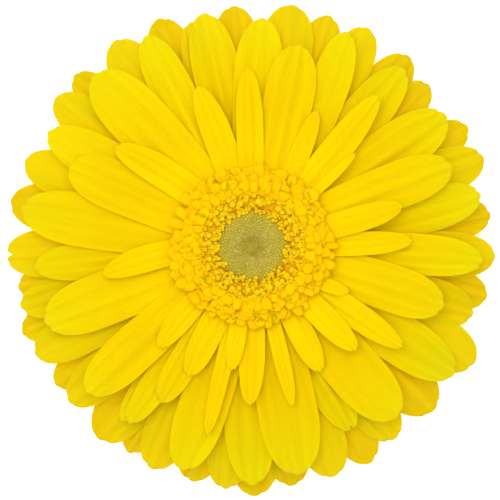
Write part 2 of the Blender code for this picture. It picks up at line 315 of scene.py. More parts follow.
upper_skin = petal_skin("ray_upper_skin", *UPPER_COLOURS_WITH_PAINTED_LIGHT, 0.2, 1.0)
under_skin = petal_skin("ray_under_skin", *UNDER_COLOURS, 0.6, 1.0)
middle_skin_painted_light_and_shade = petal_skin("middle_ray_skin_painted_light_and_shade", *MIDDLE_COLOURS_WITH_PAINTED_LIGHT_AND_SHADE, 0.26, 1.0, LOWER_PAINTED_LIGHT_CLAW_END)
back_skin_painted_light_and_shade = petal_skin("back_ray_skin_painted_light_and_shade", *BACK_COLOURS_WITH_PAINTED_LIGHT_AND_SHADE, 0.3, 1.0, LOWER_PAINTED_LIGHT_CLAW_END)
print("petal skins:", upper_skin.name, under_skin.name, middle_skin_painted_light_and_shade.name, back_skin_painted_light_and_shade.name)

# %% [markdown]
# ## Sheets and pieces
#
# Rays, short florets and bracts are all thin sheets. Each is worked out point by point as a grid,
# because its rows then follow the way it grew, from claw to tip, and the veins follow the rows. One
# function adds such a grid, with its millimetre map and a tone of its own. Another turns a finished
# mesh into a piece that rides on the flower and stands for its solid.

# %% Helpers for meshes and pieces


def start_mesh():
    """An empty mesh with room for the millimetre map and the tone."""
    builder = bmesh.new()
    builder.verts.layers.float.new(TONE)
    builder.loops.layers.uv.new(PETAL_MAP)
    return builder


def add_sheet(builder, rows, tone):
    """Adds a grid of faces from rows of (point, across, along), all in mm."""
    tones = builder.verts.layers.float[TONE]
    maps = builder.loops.layers.uv[PETAL_MAP]
    lines = []
    for row in rows:
        line = []
        for point, across, along in row:
            vert = builder.verts.new(point * MM)
            vert[tones] = tone
            line.append((vert, (across, along)))
        lines.append(line)
    for line, following in zip(lines, lines[1:]):
        for side in range(len(line) - 1):
            corners = (line[side], following[side], following[side + 1], line[side + 1])
            face = builder.faces.new([vert for vert, _ in corners])
            for loop, (_, place) in zip(face.loops, corners):
                loop[maps].uv = place


def make_piece(name, builder, materials, nodes, thickness=0.0):
    """Makes a piece of the flower. A sheet gets its thickness, and its second material below."""
    mesh = bpy.data.meshes.new(name)
    builder.to_mesh(mesh)
    builder.free()
    for material in materials:
        mesh.materials.append(material)
    mesh.shade_smooth()
    piece = bpy.data.objects.new(name, mesh)
    piece.location = axis
    scene.collection.objects.link(piece)
    if thickness:
        solid = piece.modifiers.new("thickness", "SOLIDIFY")
        solid.thickness = thickness * MM
        solid.offset = -1.0
        solid.material_offset = len(materials) - 1
    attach(piece, "root")
    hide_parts(*nodes)


print("every mesh carries:", PETAL_MAP, "and", TONE)

# %% [markdown]
# ## Rows of rays
#
# Rays stand in rows. Each row leaves the floret bed at its own height and follows a dome: the
# lowest row droops until its tips rest on the board, and the rows above it droop less and less. The
# same formula made the solids, so each ray lands in its solid's place.

# %% Height of a row
TOP_ROW = 6
LOWEST_RAY_HEIGHT = 12.6
ROW_STEP = 0.85
RAY_BASE_RADIUS = 13.8
RESTING_REACH = 55.5
TOP_RISE = 0.12
TOP_DROOP = 0.0052
SOLID_THICKNESS = 0.5
PETAL_THICKNESS = 0.3
LEAST_HEIGHT = PETAL_THICKNESS + 0.04


def row_height(row, radius):
    """Height in mm of a row's upper skin at a radius."""
    share = row / TOP_ROW
    out = radius - RAY_BASE_RADIUS
    lowest_droop = LOWEST_RAY_HEIGHT / (RESTING_REACH - RAY_BASE_RADIUS) ** 2
    droop = lowest_droop + (TOP_DROOP - lowest_droop) * share
    height = LOWEST_RAY_HEIGHT + ROW_STEP * row + TOP_RISE * share * out - droop * out * out
    return height + SOLID_THICKNESS


print("heights at 40 mm out:", [round(row_height(row, 40), 1) for row in range(TOP_ROW + 1)])

# %% [markdown]
# ## Outline of a ray
#
# A ray is narrow at its claw, widest past the middle and rounded at its tip, with small notches
# where its grown-together lobes end. Lines run along it from claw to tip. They keep their share of
# the width, and each ends where the rounded outline cuts it. A notch is where lines end early. That
# keeps the faces square at the tip, where lines that all met in one point would pinch.

# %% Outline of a ray
FRONT_SHAPE = (0.66, 0.82, 2.25)
BACK_SHAPE = (0.74, 0.80, 2.3)
INNER_SHAPE = (0.52, 0.90, 2.0)
SWELLING = 1.15
HELD_SHARE = 0.92
NOTCH_WIDTH = 0.13


def risen(run):
    """Rises from 0 to 1, quickly at first and then more slowly, and stays at 1."""
    return math.sin(min(run, 1.0) * math.pi / 2)


def blade_half(share, width, shape):
    """Half the blade's width at a share of its length, held from where the outline cuts it."""
    widest_at, base_share, fullness = shape
    held = min(max(share, 0.0), HELD_SHARE)
    if held < widest_at:
        return width / 2 * (base_share + (1 - base_share) * risen(held / widest_at) ** SWELLING)
    past = (held - widest_at) / (1 - widest_at)
    return width / 2 * math.sqrt(1 - past**fullness)


def line_end(across, shape, notches, length):
    """The share of the length where a line ends; notches are (place across, depth in mm)."""
    widest_at, _, fullness = shape
    aside = abs(across) * blade_half(HELD_SHARE, 2.0, shape)
    end = widest_at + (1 - widest_at) * (1 - aside**2) ** (1 / fullness)
    for place, depth in notches:
        end -= depth / length * math.exp(-(((across - place) / NOTCH_WIDTH) ** 2))
    return end


half_widths = [round(blade_half(step / 5, 10, FRONT_SHAPE), 1) for step in range(6)]
print("half widths of a front ray 10 mm wide:", half_widths)

# %% [markdown]
# ## Relief of a ray
#
# No two rays are alike. Each arches over, with rims that turn up again, two furrows between its
# three grown-together lobes, and fine pleats along its veins. It leans to one side, waves a little
# along its length and ruffles at its edges. All these are small, smaller on a narrow ray, and grow
# from nothing at the claw, where the rays are packed. A seeded draw gives each ray its own habit.

# %% Relief of a ray
FURROW_WIDTH = 0.15
RIM_START = 0.66
BROAD_HALF = 5.0
GROWN_AT = 0.3
END_START = 0.78


def ray_habit(seed, lively=1.0):
    """The seeded irregularities of one ray. Lengths are in mm."""
    draw = random.Random(seed)
    return SimpleNamespace(
        arch=draw.uniform(0.12, 0.23),
        lean=draw.uniform(-0.09, 0.09) * lively,
        furrow=draw.uniform(0.5, 1.1),
        furrow_places=(draw.uniform(-0.42, -0.26), draw.uniform(0.26, 0.42)),
        rim=draw.uniform(0.2, 0.6),
        pleat=draw.uniform(0.06, 0.13),
        pleat_count=draw.uniform(9.0, 13.0),
        pleat_start=draw.uniform(0.0, math.tau),
        wave=draw.uniform(0.1, 0.35) * lively,
        wave_count=draw.uniform(0.7, 1.3),
        wave_start=draw.uniform(0.0, math.tau),
        ruffle=draw.uniform(0.04, 0.16) * lively,
        ruffle_count=draw.uniform(2.2, 4.0),
        ruffle_start=draw.uniform(0.0, math.tau),
        tip_curl=draw.uniform(-0.9, 0.3) * lively,
        notches=[
            (draw.uniform(-0.45, -0.25), draw.uniform(0.1, 0.5)),
            (draw.uniform(0.25, 0.45), draw.uniform(0.1, 0.5)),
        ],
        tone=draw.random(),
    )


def ray_relief(across, share, half, habit):
    """How far the skin lies above its row's dome, in mm."""
    grown = min(max(share, 0.0) / GROWN_AT, 1.0)
    grown = grown * grown * (3 - 2 * grown)
    end = max(share - END_START, 0.0) / (1 - END_START)
    breadth = half / BROAD_HALF
    rim = max(abs(across) - RIM_START, 0.0) / (1 - RIM_START)
    relief = -habit.arch * half * across**2 + habit.lean * half * across
    relief += habit.rim * breadth * rim * rim
    relief += habit.pleat * breadth * math.sin(habit.pleat_count * across + habit.pleat_start)
    for place in habit.furrow_places:
        depth = habit.furrow * breadth * (0.8 + 0.2 * end)
        relief -= depth * math.exp(-(((across - place) / FURROW_WIDTH) ** 2))
    relief += habit.wave * math.sin(math.tau * habit.wave_count * share + habit.wave_start) * share
    ruffle = math.sin(math.tau * habit.ruffle_count * share + habit.ruffle_start + across)
    relief += habit.ruffle * ruffle * abs(across) ** 3
    return relief * grown + habit.tip_curl * end * end


middle_relief = [round(ray_relief(0.0, step / 5, BROAD_HALF, ray_habit(1)), 2) for step in range(6)]
print("relief along the middle of a broad ray, mm:", middle_relief)

# %% [markdown]
# ## One ray
#
# A grid of points follows the ray's spine, which may swing a few degrees from claw to tip. The
# columns are closer at the edges, where the outline turns, and the rows closer towards the tip. The
# claw is tucked a little into the floret bed, so that no gap shows there. Two rays have a deep
# notch in their tip, where their lobes have come apart.

# %% One ray
RAY_COLUMNS = 26
RAY_ROWS = 30
ROW_CROWDING = 1.25
CLAW_TUCK = 0.7
DEEP_NOTCHES = {"middle_petal_09": (0.0, 1.7), "front_petal_24": (0.03, 1.6)}


def ray_rows(ray, shape, habit):
    """The ray's grid, as rows of (point, across, along) in mm."""
    base_angle, tip_angle, reach, width, row = ray
    length = reach - RAY_BASE_RADIUS
    start = -CLAW_TUCK / length
    rows = []
    for step in range(RAY_ROWS + 1):
        run = 1 - (1 - step / RAY_ROWS) ** ROW_CROWDING
        line = []
        for column in range(RAY_COLUMNS + 1):
            across = math.sin((column / RAY_COLUMNS - 0.5) * math.pi)
            share = start + (line_end(across, shape, habit.notches, length) - start) * run
            radius = RAY_BASE_RADIUS + length * share
            turn = math.radians(base_angle + (tip_angle - base_angle) * share)
            half = blade_half(share, width, shape)
            aside = across * half
            x = radius * math.cos(turn) - aside * math.sin(turn)
            y = radius * math.sin(turn) + aside * math.cos(turn)
            height = row_height(row, math.hypot(x, y)) + ray_relief(across, share, half, habit)
            point = Vector((x, y, max(height, LEAST_HEIGHT)))
            line.append((point, aside, length * share))
        rows.append(line)
    return rows


def make_ray(name, node, ray, shape, habit, skin):
    """One ray in the place of its solid. Its upper skin is given, and its under skin is shared."""
    if name in DEEP_NOTCHES:
        habit.notches.append(DEEP_NOTCHES[name])
    builder = start_mesh()
    add_sheet(builder, ray_rows(ray, shape, habit), habit.tone)
    make_piece(name, builder, (skin, under_skin), [node], PETAL_THICKNESS)


print("corners of a ray's upper skin:", (RAY_ROWS + 1) * (RAY_COLUMNS + 1))

# %% [markdown]
# ## The two lowest rows
#
# These rays show as a fringe of tips around the outline, and they carry the head on the board. They
# crowd, so neighbours in a row lie on each other like roof tiles: each leans the same way, one edge
# up and the other down. Each entry is the ray's angle, in degrees anticlockwise from the right, its
# reach and its width, as measured on the picture of the flower and turned into millimetres.

# %% Rays behind
BACK_RAYS = (
    (7.5, 54.8, 10.0),
    (29.0, 56.2, 9.6),
    (42.5, 54.6, 9.6),
    (50.5, 56.2, 10.5),
    (71.5, 55.5, 9.6),
    (94.5, 55.0, 10.5),
    (112.5, 56.2, 10.5),
    (136.0, 56.4, 9.6),
    (169.5, 56.2, 11.4),
    (190.0, 54.3, 9.1),
    (200.5, 56.2, 9.6),
    (215.0, 55.0, 9.6),
    (231.5, 56.4, 12.3),
    (239.0, 55.0, 8.7),
    (255.5, 55.5, 11.0),
    (270.5, 57.1, 11.9),
    (279.5, 55.5, 11.0),
    (298.5, 56.4, 10.5),
    (318.0, 55.9, 12.8),
    (348.0, 54.8, 10.0),
)
MIDDLE_RAYS = (
    (357.5, 55.3, 10.4),
    (21.0, 56.4, 10.4),
    (62.0, 56.2, 10.4),
    (80.5, 55.7, 12.2),
    (105.5, 52.8, 8.2),
    (124.0, 56.4, 11.3),
    (143.0, 56.2, 10.4),
    (159.5, 55.3, 10.4),
    (182.0, 56.4, 11.3),
    (194.5, 54.6, 9.5),
    (206.5, 55.3, 10.4),
    (220.5, 54.8, 10.4),
    (245.5, 55.7, 10.9),
    (263.5, 55.7, 10.4),
    (289.5, 55.7, 11.3),
    (306.5, 54.6, 10.9),
    (332.5, 57.3, 12.2),
    (343.0, 52.5, 10.4),
)
TILE_LEAN = 0.07


def make_back_row(label, node, rays, row, skin, seed):
    """One low row of rays, all leaning the same way so that neighbours overlap like tiles."""
    for number, (angle, reach, width) in enumerate(rays, start=1):
        habit = ray_habit(seed + number, lively=0.6)
        habit.lean = TILE_LEAN
        ray = (angle, angle, reach, width, row)
        name = f"{label}_{number:02d}"
        make_ray(name, node, ray, BACK_SHAPE, habit, skin)


# The lower rows' skins carry painted light on their claws and painted shade at their tips and
# veins.
make_back_row("back_petal", "back_rays", BACK_RAYS, 0, back_skin_painted_light_and_shade, 100)
make_back_row("middle_petal", "middle_rays", MIDDLE_RAYS, 1, middle_skin_painted_light_and_shade, 200)
print("rays behind:", len(BACK_RAYS) + len(MIDDLE_RAYS))

# %% [markdown]
# ## The large rays in front
#
# These make the picture: 27 broad blades in rows 2 to 4. Each entry is the ray's angle at its base
# and at its tip, then its reach, its width and its row.

# %% Rays in front
FRONT_RAYS = (
    (358.0, 356.5, 52.2, 9.2, 3),
    (10.0, 12.5, 53.1, 10.3, 2),
    (24.0, 22.0, 48.4, 10.5, 4),
    (34.0, 34.0, 52.9, 11.7, 3),
    (49.0, 49.5, 52.9, 10.3, 2),
    (61.0, 66.0, 52.9, 9.0, 3),
    (75.0, 77.0, 46.4, 11.2, 4),
    (89.0, 87.5, 51.6, 10.8, 3),
    (101.0, 102.0, 54.0, 10.6, 2),
    (117.5, 117.0, 53.4, 9.4, 3),
    (131.0, 132.5, 52.7, 13.2, 4),
    (149.0, 151.0, 52.9, 10.3, 3),
    (156.0, 156.5, 44.9, 11.2, 4),
    (172.0, 171.0, 52.9, 12.1, 3),
    (184.0, 185.5, 49.5, 8.5, 2),
    (199.0, 200.0, 50.0, 12.1, 3),
    (220.0, 221.5, 49.8, 10.5, 4),
    (230.5, 233.0, 49.5, 5.4, 2),
    (235.0, 235.0, 48.7, 6.7, 3),
    (239.0, 239.5, 40.8, 6.7, 4),
    (254.0, 252.5, 53.1, 11.2, 3),
    (267.0, 270.0, 54.3, 11.3, 2),
    (283.0, 281.5, 52.7, 13.4, 3),
    (296.0, 298.5, 47.5, 8.1, 2),
    (308.0, 310.0, 50.7, 12.6, 3),
    (328.0, 327.5, 54.3, 11.5, 2),
    (344.0, 342.5, 45.1, 10.7, 4),
)


def make_upper_rays(label, rays, shape, seed, settling=0.0):
    """Rays that have a solid each; settling lowers their tips, in mm."""
    for number, ray in enumerate(rays, start=1):
        habit = ray_habit(seed + number)
        habit.tip_curl -= settling
        name = f"{label}_petal_{number:02d}"
        node = f"{label}_ray_{number:02d}"
        make_ray(name, node, ray, shape, habit, upper_skin)


make_upper_rays("front", FRONT_RAYS, FRONT_SHAPE, 300)
print("rays in front:", len(FRONT_RAYS))

# %% [markdown]
# ## The small rays next to the disc
#
# A fully double flower goes on making rays inwards, shorter and narrower. These lie on top of the
# large ones, in rows 5 and 6, and their tips settle on them. Entries are as above.

# %% Small rays
INNER_RAYS = (
    (0.5, 2.0, 35.8, 5.3, 5),
    (13.5, 15.0, 34.7, 5.8, 6),
    (48.0, 50.0, 44.0, 6.7, 5),
    (61.0, 64.5, 33.6, 4.4, 5),
    (91.0, 91.5, 40.0, 6.0, 5),
    (106.0, 109.0, 37.8, 6.7, 5),
    (137.5, 144.0, 38.0, 6.9, 5),
    (183.0, 190.5, 34.0, 6.0, 5),
    (224.0, 227.0, 30.9, 5.3, 5),
    (243.0, 243.5, 32.5, 6.2, 5),
    (256.0, 256.5, 43.6, 3.8, 5),
    (260.0, 260.5, 28.2, 4.0, 6),
    (270.5, 269.0, 35.6, 5.8, 5),
    (285.0, 284.0, 36.9, 3.6, 5),
    (300.0, 298.5, 32.0, 5.8, 5),
    (315.0, 315.0, 32.9, 5.8, 6),
    (326.5, 326.0, 40.5, 6.0, 5),
    (331.0, 334.0, 24.2, 3.1, 6),
    (40.0, 42.0, 31.1, 2.2, 6),
)
SETTLING = 0.5

make_upper_rays("inner", INNER_RAYS, INNER_SHAPE, 400, SETTLING)
print("small rays:", len(INNER_RAYS))

# %% [markdown]
# ## Turned shapes
#
# Tubes, buds and stubs are all round about a line of their own. One function adds a profile turned
# about any line, because they are hundreds and each leans its own way.

# %% Helpers for turned shapes


def add_ring(builder, centre, one, other, radius, sides, tone):
    """A ring of vertices about a centre, in the plane of two directions; one vertex at radius 0."""
    tones = builder.verts.layers.float[TONE]
    turns = [math.tau * side / sides for side in range(sides)] if radius else [0.0]
    points = [centre + (one * math.cos(t) + other * math.sin(t)) * radius for t in turns]
    ring = [builder.verts.new(point * MM) for point in points]
    for vert in ring:
        vert[tones] = tone
    return ring


def bridge(builder, ring, following):
    """Faces between two rings of vertices, either of which may be a single point."""
    count = max(len(ring), len(following))
    for place in range(count):
        after = (place + 1) % count
        corners = [ring[place % len(ring)], ring[after % len(ring)]]
        corners += [following[after % len(following)], following[place % len(following)]]
        builder.faces.new(list(dict.fromkeys(corners)))


def bridge_all(builder, rings):
    """Faces between each ring of a list and the next."""
    for ring, following in zip(rings, rings[1:]):
        bridge(builder, ring, following)


def add_turned(builder, foot, heading, profile, sides, tone):
    """Adds a shape turned about heading: the profile is (radius, distance from foot) in mm."""
    one = heading.orthogonal().normalized()
    other = heading.cross(one)
    rings = []
    for radius, distance in profile:
        centre = foot + heading * distance
        rings.append(add_ring(builder, centre, one, other, radius, sides, tone))
    bridge_all(builder, rings)


trial = start_mesh()
add_turned(trial, Vector(), UP, ((1.0, 0.0), (1.0, 2.0), (0.0, 3.0)), 8, MIDDLE_TONE)
print("faces of a pointed tube with 8 sides:", len(trial.faces))
trial.free()

# %% [markdown]
# ## The collar of short florets
#
# Around the disc stand seven rings of florets that grew a strap only 2 to 5 mm long. Each strap
# rises from a low bed, bends over outwards and ends in three small teeth. In the inner rings two
# tiny lobes curl inwards behind it. From above they make a crinkled, deeper yellow band. Four lower
# rings are a skirt, which closes the step down to the rays. Each strap is a small sheet that
# follows a bending path, and its turn, length and bend are drawn from a seed.

# %% Curling straps
TIP_ROUNDING = 0.24
TIP_ROUNDNESS = 0.98
TOOTH_WIDTH = 0.22
CRINKLE_COUNT = 3.6


def directions(angle):
    """Unit vectors outwards and sideways at an angle in degrees about the axis."""
    turn = math.radians(angle)
    outwards = Vector((math.cos(turn), math.sin(turn), 0.0))
    return outwards, Vector((-outwards.y, outwards.x, 0.0))


def curling_path(length, first_lean, last_lean, steps, pace=1.3):
    """Points (out, up, lean) of a path that leans more and more; a pace under 1 bends it early."""
    out, up = 0.0, 0.0
    path = []
    for step in range(steps + 1):
        lean = math.radians(first_lean + (last_lean - first_lean) * (step / steps) ** pace)
        path.append((out, up, lean))
        out += math.sin(lean) * length / steps
        up += math.cos(lean) * length / steps
    return path


def add_strap(
    builder, foot, heading, path, length, half_of, cup, columns, tone, teeth=(), wave=0.0
):
    """A narrow sheet along a bending path; cup lifts its edges and wave ripples it, in mm."""
    outwards, sideways = directions(heading)
    last = len(path) - 1
    rows = []
    for step in range(last + 1):
        line = []
        for column in range(columns + 1):
            across = 2 * column / columns - 1
            rounding = TIP_ROUNDING * length * (1 - math.sqrt(1 - across**2 * TIP_ROUNDNESS))
            for at, depth in teeth:
                rounding += depth * math.exp(-(((across - at) / TOOTH_WIDTH) ** 2))
            place = (1 - rounding / length) * step
            below = min(int(place), last - 1)
            part = place - below
            ends = zip(path[below], path[below + 1])
            out, up, lean = (here * (1 - part) + there * part for here, there in ends)
            half = half_of(place / last)
            ripple = wave * math.sin(CRINKLE_COUNT * across + tone * math.tau)
            lift = (cup * across**2 + ripple) * place / last
            out -= math.cos(lean) * lift
            up += math.sin(lean) * lift
            point = foot + outwards * out + sideways * (across * half) + UP * up
            line.append((point, across * half, length * place / last))
        rows.append(line)
    add_sheet(builder, rows, tone)


strap_out, strap_up, _ = curling_path(3.0, 45, 110, 7, 0.4)[-1]
print("a strap 3 mm long ends", round(strap_out, 1), "mm out,", round(strap_up, 1), "mm up")

# %% [markdown]
# The collar's skin is the rays' tissue again. It is a deeper yellow all along, and light goes less
# deep into such thin straps.

# %% The collar
COLLAR_RING_RADII = (11.8, 12.3, 12.8, 13.3, 13.8, 14.3, 14.8)
COLLAR_SPACING = 1.5
COLLAR_TOP_HEIGHT = 22.9
COLLAR_FALL = 0.84
COLLAR_RISE = 0.85
SHORTEST_STRAP = 1.0
FIRST_LONGEST = 2.4
LONGER_BY = 0.3
STRAP_TURN = 24
STRAP_WIDTHS = (1.3, 2.9)
STRAP_LEANS = ((35, 55), (100, 118))
STRAP_STEPS = 7
STRAP_PACE = 0.4
STRAP_WIDEST = 0.7
STRAP_RIPPLE = 0.05
TOOTH_PLACES = (-0.4, 0.4)
TOOTH_DEPTHS = (0.05, 0.3)
LOBED_RINGS = 3
LOBE_LENGTH = 1.1
LOBE_HALF = 0.24
COLLAR_THICKNESS = 0.1
SKIRT_RINGS = ((15.1, 18.9), (14.9, 18.1), (14.6, 17.3), (14.2, 16.5))
SKIRT_SPACING = 2.1
COLLAR_BED = ((11.3, 0.0), (11.3, 2.0), (12.0, 2.4), (13.0, 1.8), (15.7, -0.6), (15.2, -1.6))
COLLAR_BED += ((14.4, -3.8), (13.6, -5.4), (12.4, -5.4), (11.3, 0.0))
BED_SIDES = 60

collar_skin = petal_skin("collar_floret_skin", "fdc204", "fdc304", "fdc404", "f8b802", 0.2, 0.4)


def collar_top(radius):
    """Height of the collar over the disc's rim: it slopes down to the rays."""
    return COLLAR_TOP_HEIGHT - COLLAR_FALL * (radius - COLLAR_RING_RADII[0])


def lobe_half(share):
    """Half the width of a small lobe, the same all along, in mm."""
    return LOBE_HALF


def collar_floret(builder, angle, radius, top, longest, lobes, draw):
    """One short floret: a toothed strap curling outwards, and small lobes curling inwards."""
    outwards, _ = directions(angle)
    foot = outwards * radius + UP * (top - COLLAR_RISE - draw.uniform(0.0, 0.12))
    heading = angle + draw.uniform(-STRAP_TURN, STRAP_TURN)
    width = draw.uniform(*STRAP_WIDTHS)
    length = COLLAR_RISE + draw.uniform(SHORTEST_STRAP, longest)
    leans = [draw.uniform(*span) for span in STRAP_LEANS]
    path = curling_path(length, *leans, STRAP_STEPS, STRAP_PACE)
    teeth = [(place, draw.uniform(*TOOTH_DEPTHS)) for place in TOOTH_PLACES]

    def half_of(share):
        return width / 2 * (0.45 + 0.55 * risen(share / STRAP_WIDEST))

    cup = draw.uniform(-0.1, 0.05)
    tone = draw.random()
    add_strap(builder, foot, heading, path, length, half_of, cup, 5, tone, teeth, STRAP_RIPPLE)
    for side in (-1, 1)[:lobes]:
        lobe_path = curling_path(LOBE_LENGTH, draw.uniform(10, 30), draw.uniform(110, 190), 6)
        turn = heading + 180 + side * draw.uniform(15, 40)
        start = foot + UP * (COLLAR_RISE - LOBE_LENGTH)
        add_strap(builder, start, turn, lobe_path, LOBE_LENGTH, lobe_half, 0.1, 2, tone)


def make_collar():
    """Both sets of rings in one piece, and the bed below them in another."""
    builder = start_mesh()
    draw = random.Random(51)
    count = 0
    for ring, radius in enumerate(COLLAR_RING_RADII):
        around = round(math.tau * radius / COLLAR_SPACING)
        for place in range(around):
            angle = 360 * (place + 0.5 * (ring % 2)) / around + draw.uniform(-2.5, 2.5)
            lobes = 2 if ring < LOBED_RINGS else 0
            place_out = radius + draw.uniform(-0.3, 0.3)
            longest = FIRST_LONGEST + ring * LONGER_BY
            collar_floret(builder, angle, place_out, collar_top(place_out), longest, lobes, draw)
            count += 1
    for radius, top in SKIRT_RINGS:
        around = round(math.tau * radius / SKIRT_SPACING)
        for place in range(around):
            angle = 360 * place / around + draw.uniform(-4, 4)
            place_out = radius + draw.uniform(-0.2, 0.2)
            collar_floret(builder, angle, place_out, top, FIRST_LONGEST, 0, draw)
            count += 1
    skins = (collar_skin,)
    nodes = ["trans_florets"]
    make_piece("collar_florets", builder, skins, nodes, COLLAR_THICKNESS)
    bed = start_mesh()
    add_turned(bed, UP * disc_bottom, UP, COLLAR_BED, BED_SIDES, MIDDLE_TONE)
    make_piece("collar_bed", bed, skins, nodes)
    return count


print("collar florets:", make_collar())

# %% [markdown]
# ## The open florets
#
# Five uneven rings of tiny florets have opened between the collar and the buds. What shows of each
# is a yellow stub, the tube of its anthers, in a cup of small lobes. Brownish gaps lie between
# them, over a low bed; their brown is partly the tubes' own deep orange and partly painted shade,
# a darker colour lower down. The stubs are turned shapes with a rounded, slightly waisted top, and
# the lobes are short straps. Pollen dusts them, which gives a dull, crumbly look. Its grains are
# really about 0.05 mm across, and are drawn as coarse as they need to show.

# %% Skin of the open florets
FLORET_GLOSS = 0.3
GRAIN_SIZE = 0.22
GRAIN_RELIEF = 0.08


def grainy_skin(name, low, high, deep, deep_below, deep_full):
    """Tissue dusted with grains: two hex tones, and a deeper one lower down between two heights in
    mm, partly own colour and partly painted shade.
    """
    material, tree = new_tree(name)
    place = add_node(tree, "ShaderNodeTexCoord").outputs["Object"]
    tone = add_node(tree, "ShaderNodeAttribute", {"attribute_name": TONE}).outputs["Fac"]
    grains = {"Vector": place, "Scale": 1 / (GRAIN_SIZE * MM), "Detail": 1.0}
    grain = add_node(tree, NOISE, inputs=grains).outputs["Fac"]
    about_zero = {0: tone, 1: 0.6, 2: -0.3}
    own = add_node(tree, "ShaderNodeMath", {"operation": "MULTIPLY_ADD"}, about_zero).outputs[0]
    clamped_sum = {"operation": "ADD", "use_clamp": True}
    choice = add_node(tree, "ShaderNodeMath", clamped_sum, {0: grain, 1: own}).outputs[0]
    tones = {MIX_FACTOR: choice, MIX_FIRST: linear(low), MIX_SECOND: linear(high)}
    skin = add_node(tree, MIX, OF_COLOURS, tones).outputs[MIX_RESULT]
    height = add_node(tree, "ShaderNodeSeparateXYZ", inputs={"Vector": place}).outputs["Z"]
    # Lower down the colour turns to the deep one: partly the tissue's own colour, partly painted
    # shade in the deep gaps.
    fall = {"Value": height, "From Min": deep_below * MM, "From Max": deep_full * MM}
    depth = add_node(tree, MAP_RANGE, inputs=fall).outputs[0]
    layers = {MIX_FACTOR: depth, MIX_FIRST: skin, MIX_SECOND: linear(deep)}
    whole = add_node(tree, MIX, OF_COLOURS, layers).outputs[MIX_RESULT]
    raised = {"Height": grain, "Strength": 0.4, "Distance": GRAIN_RELIEF * MM}
    tissue = {
        "Base Color": whole,
        "Roughness": 0.62,
        "Normal": add_node(tree, "ShaderNodeBump", inputs=raised).outputs[0],
        "IOR": 1.4,
        "Specular IOR Level": FLORET_GLOSS,
        "Specular Tint": PETAL_GLOSS_TINT,
        "Subsurface Weight": 0.15,
        "Subsurface Radius": (1.0, 0.6, 0.05),
        "Subsurface Scale": 0.4 * MM,
    }
    return finish_material(material, tissue)


# The brown below 21.8 mm is partly the tubes' own orange and partly painted shade between the
# stubs.
stub_skin = grainy_skin("open_floret_skin", "e2b80b", "e4c414", "ce8a06", 21.8, 21.2)
print("open florets' skin:", stub_skin.name)

# %% The open florets
STUB_RINGS = ((7.4, 38, 0.42, 22.3), (8.2, 46, 0.46, 22.1), (9.1, 50, 0.5, 22.0))
STUB_RINGS += ((10.1, 37, 0.68, 22.3), (11.15, 62, 0.54, 22.3))
STUB_LENGTH = 3.0
STUB_SIDES = 10
STUB_PROFILE = ((0.72, 0.0), (0.80, 0.5), (0.86, 0.75), (1.0, 0.88), (0.92, 0.95), (0.6, 1.0))
STUB_PROFILE += ((0.0, 0.97),)
LOBE_COUNT = 2
LOBE_START = 0.72
LOBE_SPREAD = 50
CUP_LOBE_LENGTH = 1.2
RING_BED = ((7.9, 0.0), (7.9, 1.4), (9.2, 1.8), (11.4, 1.9), (11.4, 0.0), (7.9, 0.0))


def cup_lobe_half(share):
    """Half the width of a cup's lobe, in mm."""
    return 0.4 - 0.15 * share


def open_floret(builder, angle, radius, thickness, top, draw):
    """A stub standing on the disc, leaning outwards a little, in a ring of small lobes."""
    outwards, sideways = directions(angle)
    lean = outwards * draw.uniform(0.05, 0.35) + sideways * draw.uniform(-0.2, 0.2)
    heading = (UP + lean).normalized()
    size = thickness * draw.uniform(0.85, 1.25)
    foot = outwards * (radius - 0.4) + UP * (top - STUB_LENGTH)
    profile = [(share * size, run * STUB_LENGTH) for share, run in STUB_PROFILE]
    tone = draw.random()
    add_turned(builder, foot, heading, profile, STUB_SIDES, tone)
    lobe_foot = foot + heading * (STUB_LENGTH * LOBE_START)
    for lobe in range(LOBE_COUNT):
        turn = angle + LOBE_SPREAD * (lobe - 1) + draw.uniform(-15, 15)
        outer, _ = directions(turn)
        length = CUP_LOBE_LENGTH
        path = curling_path(length, draw.uniform(10, 25), draw.uniform(80, 130), 5)
        start = lobe_foot + outer * (size * 0.7)
        add_strap(builder, start, turn, path, length, cup_lobe_half, 0.08, 2, tone)


def make_open_florets():
    """The bed and all rings of open florets, in one piece."""
    builder = start_mesh()
    draw = random.Random(77)
    # The bed gets the darker tone: painted shade between the stubs.
    add_turned(builder, UP * disc_bottom, UP, RING_BED, BED_SIDES, SHADED_TONE)
    count = 0
    for radius, around, thickness, top in STUB_RINGS:
        for place in range(around):
            angle = 360 * place / around + draw.uniform(-4, 4)
            height = top + draw.uniform(-0.5, 0.3)
            open_floret(builder, angle, radius + draw.uniform(-0.3, 0.3), thickness, height, draw)
            count += 1
    make_piece("open_floret_ring", builder, (stub_skin,), ["open_florets"])
    return count


print("open florets:", make_open_florets())

# %% [markdown]
# ## The cushion of buds
#
# The middle of the disc is hundreds of closed buds, packed in the spiral that most daisy-like
# flowers share: each is turned by the golden angle from the last, and moved out by the root of its
# number. They are olive green, darker in the dimple, with the soft sheen of thin wax. Dry bristles
# stand between them, straw yellow with a greenish cast and dull.

# %% Skin of the buds
BUDS_RADIUS = 8.15
BUD_COLOURS = ("aa9927", "c8b749", "c7b21d")
DIMPLE_SPAN = (0.6, 3.8)
RIM_SPAN = (4.0, 8.0)
STREAK_SIZE = 0.8


def distance_out(tree, place):
    """How far a place is from the flower's axis."""
    level = {0: place, 1: (1.0, 1.0, 0.0)}
    flat = add_node(tree, "ShaderNodeVectorMath", {"operation": "MULTIPLY"}, level).outputs[0]
    measured = add_node(tree, "ShaderNodeVectorMath", {"operation": "LENGTH"}, {0: flat})
    return measured.outputs["Value"]


